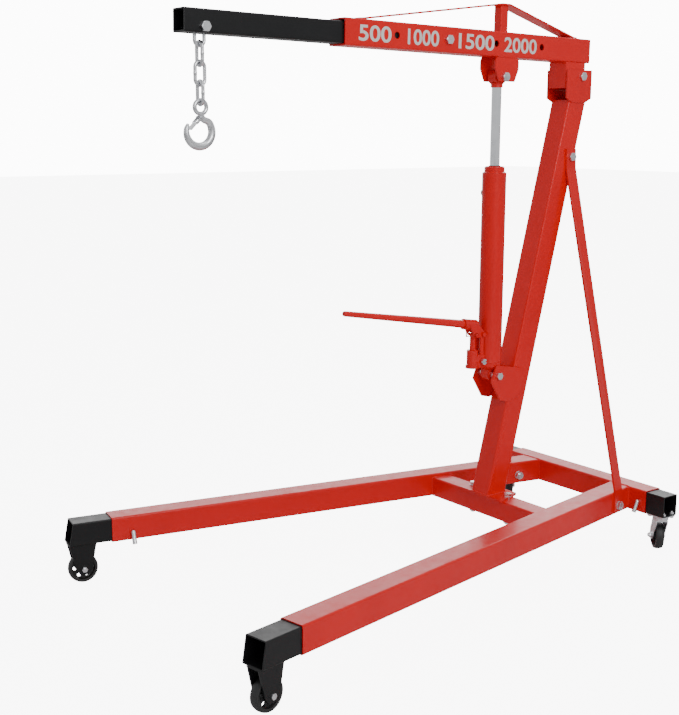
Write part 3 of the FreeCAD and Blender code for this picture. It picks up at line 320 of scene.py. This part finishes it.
def makeRamFinish(look):
    # hard chrome on the rod, enamel on the eye and its collar
    material, tree, shader = startMaterial("ramFinish")
    coords = put(tree, "ShaderNodeTexCoord", (-1100, -100)).outputs["Object"]
    height = put(tree, "ShaderNodeSeparateXYZ", (-900, -100), None, Vector=coords).outputs["Z"]
    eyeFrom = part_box("ram")[1].z - look["eyeHeight"]
    onEye = mathNode(tree, "GREATER_THAN", height, eyeFrom, (-700, -100))
    skin = placeGroup(tree, paintSkin, (-700, 200), Paint=redLook["paint"],
                      Thin_Paint=redLook["thinPaint"], Peel_Scale=redLook["peelScale"],
                      Gloss=redLook["roughness"])
    oil = put(tree, "ShaderNodeTexNoise", (-900, -400), None, Vector=coords,
              Scale=look["oilScale"], Detail=look["oilDetail"])
    dullest = look["rodRoughness"] + look["oilRoughness"]
    rodRough = remap(tree, oil.outputs[0], *look["oilRange"], look["rodRoughness"], dullest,
                     (-700, -400))
    rodColor = mixColors(tree, oil.outputs[0], look["rodColor"], look["oiledColor"], (-500, -300))
    color = mixColors(tree, onEye, rodColor, skin.outputs["Color"], (-200, 200))
    tree.links.new(color, shader.inputs["Base Color"])
    roughMix = put(tree, "ShaderNodeMix", (-200, 0), None, in0=onEye, in2=rodRough,
                   in3=skin.outputs["Roughness"])
    tree.links.new(roughMix.outputs[0], shader.inputs["Roughness"])
    metal = mathNode(tree, "SUBTRACT", 1.0, onEye, (-200, -150))
    tree.links.new(metal, shader.inputs["Metallic"])
    edge = placeGroup(tree, edgeFinish, (-500, -600), Edge_Radius=look["edgeRadius"],
                      Wear_Amount=0.0)
    peel = mathNode(tree, "MULTIPLY", skin.outputs["Height"], onEye, (-200, -400))
    addRelief(tree, shader, peel, edge.outputs["Normal"], look["relief"], look["reliefDepth"])
    return material


ramFinish = makeRamFinish(ramLook)

wheelLook = {"tread": (0.016, 0.016, 0.017, 1), "scuffed": (0.06, 0.058, 0.055, 1),
             "roughness": 0.42, "roughLess": 0.08, "roughMore": 0.18, "roughRange": (0.3, 0.7),
             "grainScale": 900.0, "grainDetail": 4.0, "dustScale": 70.0, "dustDetail": 7.0,
             "dustRoughness": 0.7, "dustRange": (0.48, 0.72), "dustTop": 0.05, "dustLow": 0.55,
             "dustHigh": 0.12, "edgeRadius": 0.0012, "relief": 0.15, "reliefDepth": 0.0002}


def makeWheelFinish(look):
    # moulded hard rubber: fine grain, floor dust rubbed into the tread
    material, tree, shader = startMaterial("wheelRubber")
    coords = put(tree, "ShaderNodeTexCoord", (-1000, 0)).outputs["Object"]
    grain = put(tree, "ShaderNodeTexNoise", (-750, -250), None, Vector=coords,
                Scale=look["grainScale"], Detail=look["grainDetail"])
    dust = put(tree, "ShaderNodeTexNoise", (-750, 100), None, Vector=coords,
               Scale=look["dustScale"], Detail=look["dustDetail"], Roughness=look["dustRoughness"])
    height = put(tree, "ShaderNodeSeparateXYZ", (-750, 350), None, Vector=coords).outputs["Z"]
    low = remap(tree, height, 0.0, look["dustTop"], look["dustLow"], look["dustHigh"], (-500, 350))
    patches = remap(tree, dust.outputs[0], *look["dustRange"], 0.0, 1.0, (-500, 100))
    mask = mathNode(tree, "MULTIPLY", patches, low, (-300, 200), True)
    color = mixColors(tree, mask, look["tread"], look["scuffed"], (-100, 150))
    tree.links.new(color, shader.inputs["Base Color"])
    rough = remap(tree, dust.outputs[0], *look["roughRange"],
                  look["roughness"] - look["roughLess"], look["roughness"] + look["roughMore"],
                  (-100, -100))
    tree.links.new(rough, shader.inputs["Roughness"])
    edge = placeGroup(tree, edgeFinish, (-500, -500), Edge_Radius=look["edgeRadius"],
                      Wear_Amount=0.0)
    addRelief(tree, shader, grain.outputs[0], edge.outputs["Normal"], look["relief"],
              look["reliefDepth"])
    return material


wheelRubber = makeWheelFinish(wheelLook)
rubberPlug = makePaint("rubberPlug", dict(blackLook, roughness=0.6, coat=0.0))

finishOfSlot = {"red_paint": redEnamel, "black_paint": blackSatin, "zinc_plated": zincPlate,
                "bare_steel": bareSteel, "chromed_rod": ramFinish, "wheel_rubber": wheelRubber,
                "black_rubber": rubberPlug}
for entry in frame["record"]["subparts"]:
    piece = nodes[entry["node"]]
    piece.data.materials.clear()
    piece.data.materials.append(finishOfSlot[entry["material_slot"]])
print("materials on every node")

# places taken from the frame
hinge = Vector(jointList["boom_lift"]["pos_m"])
boomAlong = Vector(jointList["boom_reach"]["axis"])
boomUp = Vector((-boomAlong.z, 0.0, boomAlong.x))
wheelAxis = Vector(jointList["left_front_wheel_spin"]["axis"])
legAlong = Vector((abs(wheelAxis.y), abs(wheelAxis.x), 0.0))
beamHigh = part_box("rear_beam")[1]
legLow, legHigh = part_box("left_leg")
postLow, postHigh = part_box("post")
crossLow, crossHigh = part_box("cross_member")


def mirrorAcross(points):
    return [Vector((p.x, -p.y, p.z)) for p in points]


# geometry node helpers
def addPiece(name, mesh, body):
    mesh.name = name
    piece = bpy.data.objects.new(name, mesh)
    bpy.context.scene.collection.objects.link(piece)
    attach(piece, body)
    return piece


def growPiece(name, tree, values, body, base=None):
    # runs a node tree on a bare mesh and keeps only the plain result
    maker = bpy.data.objects.new(name + "Maker", base or bpy.data.meshes.new(name + "Seed"))
    bpy.context.scene.collection.objects.link(maker)
    modifier = maker.modifiers.new("grow", "NODES")
    modifier.node_group = tree
    for item in tree.interface.items_tree:
        if item.item_type == "SOCKET" and item.in_out == "INPUT" and item.name in values:
            modifier[item.identifier] = values[item.name]
    graph = bpy.context.evaluated_depsgraph_get()
    mesh = bpy.data.meshes.new_from_object(maker.evaluated_get(graph), depsgraph=graph)
    bpy.data.objects.remove(maker)
    return addPiece(name, mesh, body)


def polylineMesh(name, paths):
    # each path is (points, closed)
    mesh = bpy.data.meshes.new(name)
    verts, edges = [], []
    for points, closed in paths:
        first = len(verts)
        verts += [tuple(p) for p in points]
        edges += [(first + i, first + i + 1) for i in range(len(points) - 1)]
        if closed:
            edges.append((first + len(points) - 1, first))
    mesh.from_pydata(verts, edges, [])
    return mesh


def ringPoints(center, radius, count, normal=Vector((0, 0, 1))):
    side = normal.orthogonal().normalized()
    other = normal.cross(side)
    turns = [2 * math.pi * k / count for k in range(count)]
    return [center + side * (radius * math.cos(t)) + other * (radius * math.sin(t)) for t in turns]


def sweepTube(tree, path, radius, sides, place):
    # a round section carried along a path, with the radius given point by point
    sized = put(tree, "GeometryNodeSetCurveRadius", place, None, Curve=path,
                Radius=radius).outputs[0]
    section = put(tree, "GeometryNodeCurvePrimitiveCircle", (place[0], place[1] + 250), None,
                  Resolution=sides, Radius=1.0).outputs[0]
    tube = tree.nodes.new("GeometryNodeCurveToMesh")
    tube.location = (place[0] + 250, place[1])
    tree.links.new(sized, tube.inputs["Curve"])
    tree.links.new(section, tube.inputs["Profile Curve"])
    tube.inputs["Fill Caps"].default_value = True
    if "Scale" in tube.inputs:
        given = put(tree, "GeometryNodeInputRadius", (place[0], place[1] + 400)).outputs[0]
        tree.links.new(given, tube.inputs["Scale"])
    return put(tree, "GeometryNodeSetShadeSmooth", (place[0] + 450, place[1]), None,
               Geometry=tube.outputs[0]).outputs[0]


def endTree(tree, shape, finish, place):
    real = put(tree, "GeometryNodeRealizeInstances", place, None, Geometry=shape).outputs[0]
    done = put(tree, "GeometryNodeSetMaterial", (place[0] + 200, place[1]), None, Geometry=real,
               Material=finish).outputs[0]
    out = put(tree, "NodeGroupOutput", (place[0] + 400, place[1]))
    tree.links.new(done, out.inputs[0])


# weld beads
weldLook = {"beadRadius": 0.0030, "rippleLength": 0.0034, "rippleDepth": 0.16, "wander": 0.22,
            "stepsPerRipple": 3.0, "wanderScale": 70.0, "wanderDetail": 2.0, "sides": 8}


def makeWeldTree(look):
    tree = newGroup("weldBead", "GeometryNodeTree", [
        ("Geometry", "INPUT", "Geometry", None),
        ("Bead Radius", "INPUT", "Float", look["beadRadius"]),
        ("Ripple Length", "INPUT", "Float", look["rippleLength"]),
        ("Ripple Depth", "INPUT", "Float", look["rippleDepth"]),
        ("Wander", "INPUT", "Float", look["wander"]),
        ("Finish", "INPUT", "Material", None),
        ("Geometry", "OUTPUT", "Geometry", None)])
    given = put(tree, "NodeGroupInput", (-1200, 0)).outputs
    path = put(tree, "GeometryNodeMeshToCurve", (-1000, 0), None,
               Mesh=given["Geometry"]).outputs[0]
    step = mathNode(tree, "DIVIDE", given["Ripple Length"], look["stepsPerRipple"], (-1000, -200))
    fine = put(tree, "GeometryNodeResampleCurve", (-800, 0), {"mode": "LENGTH"}, Curve=path,
               Length=step).outputs[0]
    run = put(tree, "GeometryNodeSplineParameter", (-1000, -400)).outputs["Length"]
    turn = mathNode(tree, "DIVIDE", run, given["Ripple Length"], (-800, -400))
    turn = mathNode(tree, "MULTIPLY", turn, 2 * math.pi, (-650, -400))
    wave = mathNode(tree, "SINE", turn, None, (-500, -400))
    wave = mathNode(tree, "MULTIPLY", wave, given["Ripple Depth"], (-350, -400))
    noise = put(tree, "ShaderNodeTexNoise", (-800, -600), None, Scale=look["wanderScale"],
                Detail=look["wanderDetail"])
    drift = mathNode(tree, "SUBTRACT", noise.outputs[0], 0.5, (-600, -600))
    drift = mathNode(tree, "MULTIPLY", drift, given["Wander"], (-450, -600))
    size = mathNode(tree, "ADD", wave, drift, (-200, -450))
    size = mathNode(tree, "ADD", size, 1.0, (-50, -450))
    size = mathNode(tree, "MULTIPLY", size, given["Bead Radius"], (80, -450))
    bead = sweepTube(tree, fine, size, look["sides"], (200, 0))
    endTree(tree, bead, given["Finish"], (900, 0))
    return tree


weldTree = makeWeldTree(weldLook)


def layBeads(name, paths, body, finish, look):
    values = {"Finish": finish, "Bead Radius": look["beadRadius"],
              "Ripple Length": look["rippleLength"], "Ripple Depth": look["rippleDepth"],
              "Wander": look["wander"]}
    return growPiece(name, weldTree, values, body, polylineMesh(name + "Path", paths))


frameLook = {"legInnerAtBeam": 0.1595, "legWidth": 0.075, "postHalf": 0.0375,
             "postFootDepth": 0.0773, "cornerInset": 0.004, "footInset": 0.001, "topSink": 0.0005}


def frameWelds(look):
    inset = look["cornerInset"]
    half = look["postHalf"] - look["footInset"]
    front, back, level = postHigh.x, postHigh.x - look["postFootDepth"], postLow.z
    paths = [([Vector((front, -half, level)), Vector((front, half, level)),
               Vector((back, half, level)), Vector((back, -half, level))], True)]
    slope = legAlong.y / legAlong.x
    outerGap = look["legWidth"] / legAlong.x

    def onLeg(x, z, outside=0.0):
        return Vector((x, look["legInnerAtBeam"] + (x - beamHigh.x) * slope + outside, z))

    beamFace = beamHigh.x
    legTop, crossTop = legHigh.z - look["topSink"], crossHigh.z - look["topSink"]
    cornerRun = [onLeg(beamFace, legLow.z + inset), onLeg(beamFace, legHigh.z - inset),
                 onLeg(beamFace, legTop, inset), onLeg(beamFace, legTop, outerGap - inset),
                 onLeg(beamFace, legHigh.z - inset, outerGap),
                 onLeg(beamFace, legLow.z + inset, outerGap)]
    crossRun = [onLeg(crossHigh.x, crossLow.z + inset), onLeg(crossHigh.x, crossHigh.z - inset),
                onLeg(crossHigh.x - inset, crossTop), onLeg(crossLow.x + inset, crossTop),
                onLeg(crossLow.x, crossHigh.z - inset), onLeg(crossLow.x, crossLow.z + inset)]
    for run in (cornerRun, crossRun):
        paths.append((run, False))
        paths.append((mirrorAcross(run), False))
    return paths


layBeads("frameWelds", frameWelds(frameLook), "frame", redEnamel, weldLook)


boomLook = {"clevisRear": 0.010, "clevisFront": 0.008, "rearSink": 0.0010, "frontRise": 0.0006,
            "uprightInset": 0.001, "footRise": 0.0006}


def boomWelds(look):
    # seams along the tops of the clevis plates and round the foot of the upright
    clevisLow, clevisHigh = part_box("jack_clevis_plates")
    uprightLow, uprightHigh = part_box("boom_upright")
    paths = []
    for side in (-1, 1):
        y = side * clevisHigh.y
        level = clevisHigh.z
        rear = Vector((clevisLow.x + look["clevisRear"], y, level - look["rearSink"]))
        front = Vector((clevisHigh.x - look["clevisFront"], y, level + look["frontRise"]))
        paths.append(([rear, front], False))
    half = (uprightHigh.x - uprightLow.x) / 2
    center = Vector(((uprightLow.x + uprightHigh.x) / 2, 0, uprightLow.z))
    width = uprightHigh.y - look["uprightInset"]
    corners = ((-1, -1), (1, -1), (1, 1), (-1, 1))
    paths.append(([center + Vector((sx * half, sy * width, look["footRise"]))
                   for sx, sy in corners], True))
    return paths


thinBead = dict(weldLook, beadRadius=0.0022)
layBeads("boomWelds", boomWelds(boomLook), "boom", redEnamel, thinBead)

jackTubeLow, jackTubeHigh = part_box("jack_tube")
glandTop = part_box("gland_nut")[1].z
jackMiddle = (jackTubeLow + jackTubeHigh) / 2
jackLook = {"tubeRadius": 0.0365, "seamUp": 0.0012, "seamSink": 0.0002, "ringSteps": 64}
seamCenter = Vector((jackMiddle.x, 0, jackTubeLow.z + jackLook["seamUp"]))
seamRadius = jackLook["tubeRadius"] - jackLook["seamSink"]
jackRings = [(ringPoints(seamCenter, seamRadius, jackLook["ringSteps"]), True)]
layBeads("jackWelds", jackRings, "jack", redEnamel, thinBead)

wiperLook = {"beadRadius": 0.0016, "rippleLength": 0.004, "rippleDepth": 0.0, "wander": 0.0,
             "ramRadius": 0.0150, "lipOut": 0.0019, "lipUp": 0.0004, "ringSteps": 72}
wiperCenter = Vector((jackMiddle.x, 0, glandTop + wiperLook["lipUp"]))
wiperRadius = wiperLook["ramRadius"] + wiperLook["lipOut"]
wiperRing = [(ringPoints(wiperCenter, wiperRadius, wiperLook["ringSteps"]), True)]
layBeads("ramWiper", wiperRing, "jack", rubberPlug, wiperLook)
print("weld beads laid")

# chain links
chainLook = {"wire": 0.00475, "bend": 0.0135, "straight": 0.030, "swell": 0.10,
             "swellReach": 0.0035, "sides": 20, "ringSteps": 64, "pathSteps": 120,
             "splitShift": 0.00001}


def makeLinkTree(look):
    tree = newGroup("chainLink", "GeometryNodeTree", [
        ("Geometry", "INPUT", "Geometry", None),
        ("Wire Radius", "INPUT", "Float", look["wire"]),
        ("Bend Radius", "INPUT", "Float", look["bend"]),
        ("Straight", "INPUT", "Float", look["straight"]),
        ("Weld Swell", "INPUT", "Float", look["swell"]),
        ("Center", "INPUT", "Vector", None),
        ("Turned", "INPUT", "Float", 0.0),
        ("Finish", "INPUT", "Material", None),
        ("Geometry", "OUTPUT", "Geometry", None)])
    given = put(tree, "NodeGroupInput", (-1400, 0)).outputs
    ring = put(tree, "GeometryNodeCurvePrimitiveCircle", (-1200, 0), None,
               Resolution=look["ringSteps"], Radius=given["Bend Radius"]).outputs[0]
    place = put(tree, "GeometryNodeInputPosition", (-1400, -300)).outputs[0]
    parts = put(tree, "ShaderNodeSeparateXYZ", (-1200, -300), None, Vector=place).outputs
    # the half above goes up, the half below goes down: a ring drawn out into a link
    side = mathNode(tree, "SUBTRACT", parts["Y"], look["splitShift"], (-1100, -500))
    side = mathNode(tree, "SIGN", side, None, (-1000, -400))
    halfStraight = mathNode(tree, "DIVIDE", given["Straight"], 2.0, (-1100, -650))
    pull = mathNode(tree, "MULTIPLY", side, halfStraight, (-850, -400))
    up = mathNode(tree, "ADD", parts["Y"], pull, (-700, -400))
    stood = put(tree, "ShaderNodeCombineXYZ", (-550, -300), None, X=parts["X"], Z=up).outputs[0]
    drawn = put(tree, "GeometryNodeSetPosition", (-400, 0), None, Geometry=ring,
                Position=stood).outputs[0]
    fine = put(tree, "GeometryNodeResampleCurve", (-250, 0), None, Curve=drawn,
               Count=look["pathSteps"]).outputs[0]
    # the butt weld swells the middle of one straight side
    spot = put(tree, "GeometryNodeInputPosition", (-550, -550)).outputs[0]
    here = put(tree, "ShaderNodeSeparateXYZ", (-400, -550), None, Vector=spot).outputs
    near = mathNode(tree, "DIVIDE", here["Z"], look["swellReach"], (-250, -550))
    near = mathNode(tree, "MULTIPLY", near, near, (-100, -550))
    near = mathNode(tree, "MULTIPLY", near, -1.0, (50, -550))
    near = mathNode(tree, "EXPONENT", near, None, (200, -550))
    oneSide = mathNode(tree, "GREATER_THAN", here["X"], 0.0, (200, -700))
    near = mathNode(tree, "MULTIPLY", near, oneSide, (350, -550))
    size = mathNode(tree, "MULTIPLY", near, given["Weld Swell"], (500, -550))
    size = mathNode(tree, "ADD", size, 1.0, (650, -550))
    size = mathNode(tree, "MULTIPLY", size, given["Wire Radius"], (800, -550))
    wire = sweepTube(tree, fine, size, look["sides"], (0, 0))
    spin = put(tree, "ShaderNodeCombineXYZ", (500, 250), None, Z=given["Turned"]).outputs[0]
    placed = tree.nodes.new("GeometryNodeTransform")
    placed.location = (700, 0)
    tree.links.new(wire, placed.inputs["Geometry"])
    tree.links.new(given["Center"], placed.inputs["Translation"])
    tree.links.new(spin, placed.inputs["Rotation"])
    endTree(tree, placed.outputs[0], given["Finish"], (900, 0))
    return tree


linkTree = makeLinkTree(chainLook)
for number in range(1, 5):
    nodeName = "chain_link_%d" % number
    low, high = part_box(nodeName)
    extent = high - low
    wide = max(extent.x, extent.y)
    wireRadius = min(extent.x, extent.y) / 2
    bend = wide / 2 - wireRadius
    values = {"Wire Radius": wireRadius, "Bend Radius": bend,
              "Straight": extent.z - 2 * bend - 2 * wireRadius, "Weld Swell": chainLook["swell"],
              "Center": tuple((low + high) / 2),
              "Turned": 0.0 if extent.x > extent.y else math.pi / 2, "Finish": zincPlate}
    newLink = growPiece("chainLink%d" % number, linkTree, values, "chain_%d" % number)
    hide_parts(nodeName)
print("chain made")

# load marks painted on the boom
markLook = {"height": 0.043, "boomHalf": 0.0363, "middleUp": 0.0775,
            "paint": (0.85, 0.85, 0.83, 1), "thinPaint": (0.72, 0.72, 0.70, 1), "bold": 0.018,
            "curveSteps": 6, "marks": {"500": (0.0795, 0.1915), "1000": (-0.0925, 0.0215),
                                       "1500": (-0.3065, -0.1665), "2000": (-0.4805, -0.3465)}}
markWhite = makePaint("markWhite", dict(redLook, paint=markLook["paint"],
                                        thinPaint=markLook["thinPaint"], wear=0.0, coat=0.1,
                                        edgeRadius=0.0002))


def makeMarks(look):
    whole = bmesh.new()
    for text, (rearX, frontX) in look["marks"].items():
        letters = bpy.data.curves.new("mark" + text, "FONT")
        letters.body = text
        letters.offset = look["bold"]
        letters.resolution_u = look["curveSteps"]
        holder = bpy.data.objects.new("mark" + text, letters)
        bpy.context.scene.collection.objects.link(holder)
        graph = bpy.context.evaluated_depsgraph_get()
        flat = bpy.data.meshes.new_from_object(holder.evaluated_get(graph), depsgraph=graph)
        bpy.data.objects.remove(holder)
        xs = [v.co.x for v in flat.vertices]
        ys = [v.co.y for v in flat.vertices]
        toMiddle = Matrix.Translation((-(min(xs) + max(xs)) / 2, -(min(ys) + max(ys)) / 2, 0))
        fit = Matrix.Diagonal(((frontX - rearX) / (max(xs) - min(xs)),
                               look["height"] / (max(ys) - min(ys)), 1, 1))
        middle = (rearX + frontX) / 2
        along = (middle - hinge.x) / boomAlong.x
        for side in (-1, 1):
            onSide = Vector((0, side * look["boomHalf"], 0))
            center = hinge + boomAlong * along + boomUp * look["middleUp"] + onSide
            right = boomAlong * -side
            outward = Vector((0, side, 0))
            stand = Matrix((right, boomUp, outward)).transposed().to_4x4()
            copy = flat.copy()
            copy.transform(Matrix.Translation(center) @ stand @ fit @ toMiddle)
            whole.from_mesh(copy)
    mesh = bpy.data.meshes.new("loadMarks")
    whole.to_mesh(mesh)
    whole.free()
    mesh.materials.append(markWhite)
    return addPiece("loadMarks", mesh, "boom")


makeMarks(markLook)
print("load marks painted")

# floor, light and camera
studio = {"floorSize": 30.0, "floorColor": (0.9, 0.9, 0.9, 1), "floorGlow": 9.0,
          "worldColor": (1.0, 1.0, 1.0, 1), "worldLight": 0.32, "worldSeen": 12.0,
          "mirrorBehind": 2.6, "mirrorFront": 0.75, "mirrorRange": (0.6, 0.95), "towards": -126.5,
          "floorRoughness": 0.7, "floorDrop": 0.0005}


def makeFloor(look):
    material, tree, shader = startMaterial("floorPaint")
    shader.inputs["Base Color"].default_value = look["floorColor"]
    shader.inputs["Roughness"].default_value = look["floorRoughness"]
    shader.inputs["Emission Color"].default_value = look["floorColor"]
    seen = put(tree, "ShaderNodeLightPath", (-200, -200)).outputs["Is Camera Ray"]
    glow = mathNode(tree, "MULTIPLY", seen, look["floorGlow"], (0, -200))
    tree.links.new(glow, shader.inputs["Emission Strength"])
    mesh = bpy.data.meshes.new("floor")
    shape = bmesh.new()
    bmesh.ops.create_grid(shape, x_segments=1, y_segments=1, size=look["floorSize"])
    shape.to_mesh(mesh)
    shape.free()
    floor = bpy.data.objects.new("floor", mesh)
    floor.data.transform(Matrix.Translation((0, 0, -look["floorDrop"])))
    mesh.materials.append(material)
    bpy.context.scene.collection.objects.link(floor)


makeFloor(studio)
world = bpy.data.worlds.new("studio")
world.use_nodes = True
sky = world.node_tree
background = sky.nodes["Background"]
background.inputs["Color"].default_value = studio["worldColor"]
rays = put(sky, "ShaderNodeLightPath", (-900, 0)).outputs
# gloss mirrors a pale backdrop behind the crane and a dimmer room in front of it
turnTo = math.radians(studio["towards"])
gaze = put(sky, "ShaderNodeTexCoord", (-900, -300)).outputs["Generated"]
facingBack = put(sky, "ShaderNodeVectorMath", (-700, -300), {"operation": "DOT_PRODUCT"}, in0=gaze,
                 in1=(math.cos(turnTo), math.sin(turnTo), 0.0)).outputs["Value"]
mirrored = remap(sky, facingBack, *studio["mirrorRange"], studio["mirrorFront"],
                 studio["mirrorBehind"], (-500, -300))
unseen = put(sky, "ShaderNodeMix", (-300, -200), None, in0=rays["Is Glossy Ray"],
             in2=studio["worldLight"], in3=mirrored).outputs[0]
strength = put(sky, "ShaderNodeMix", (-150, 0), None, in0=rays["Is Camera Ray"], in2=unseen,
               in3=studio["worldSeen"]).outputs[0]
sky.links.new(strength, background.inputs["Strength"])
bpy.context.scene.world = world

lamps = {"key": {"place": (0.9, 4.6, 3.3), "aim": (0.0, 0.0, 0.9), "size": 2.4, "power": 100},
         "top": {"place": (-0.2, 0.3, 4.6), "aim": (0.0, 0.0, 0.6), "size": 3.0, "power": 45},
         "rim": {"place": (-3.4, -1.6, 2.6), "aim": (0.0, 0.0, 0.9), "size": 1.8, "power": 25}}
for lampName, lamp in lamps.items():
    light = bpy.data.lights.new(lampName, "AREA")
    light.size = lamp["size"]
    light.energy = lamp["power"]
    lampObject = bpy.data.objects.new(lampName, light)
    lampObject.location = lamp["place"]
    aimLine = Vector(lamp["aim"]) - Vector(lamp["place"])
    lampObject.rotation_euler = aimLine.to_track_quat("-Z", "Y").to_euler()
    bpy.context.scene.collection.objects.link(lampObject)

cameraSetup = {"place": (2.18426, 2.64637, 1.32168), "heading": -126.52, "tiltDown": 10.838,
               "roll": 0.179, "lens": 59.90, "filmHeight": 36.0, "seesTo": 60.0}
heading, tiltDown = math.radians(cameraSetup["heading"]), math.radians(cameraSetup["tiltDown"])
sight = Vector((math.cos(heading) * math.cos(tiltDown), math.sin(heading) * math.cos(tiltDown),
                -math.sin(tiltDown)))
camera = bpy.data.objects.new("camera", bpy.data.cameras.new("camera"))
camera.data.sensor_fit = "VERTICAL"
camera.data.sensor_height = cameraSetup["filmHeight"]
camera.data.lens = cameraSetup["lens"]
camera.data.clip_end = cameraSetup["seesTo"]
camera.location = cameraSetup["place"]
camera.rotation_euler = (sight.to_track_quat("-Z", "Y")
                         @ Quaternion((0, 0, 1), math.radians(cameraSetup["roll"]))).to_euler()
bpy.context.scene.collection.objects.link(camera)
bpy.context.scene.camera = camera
print("studio and camera set")
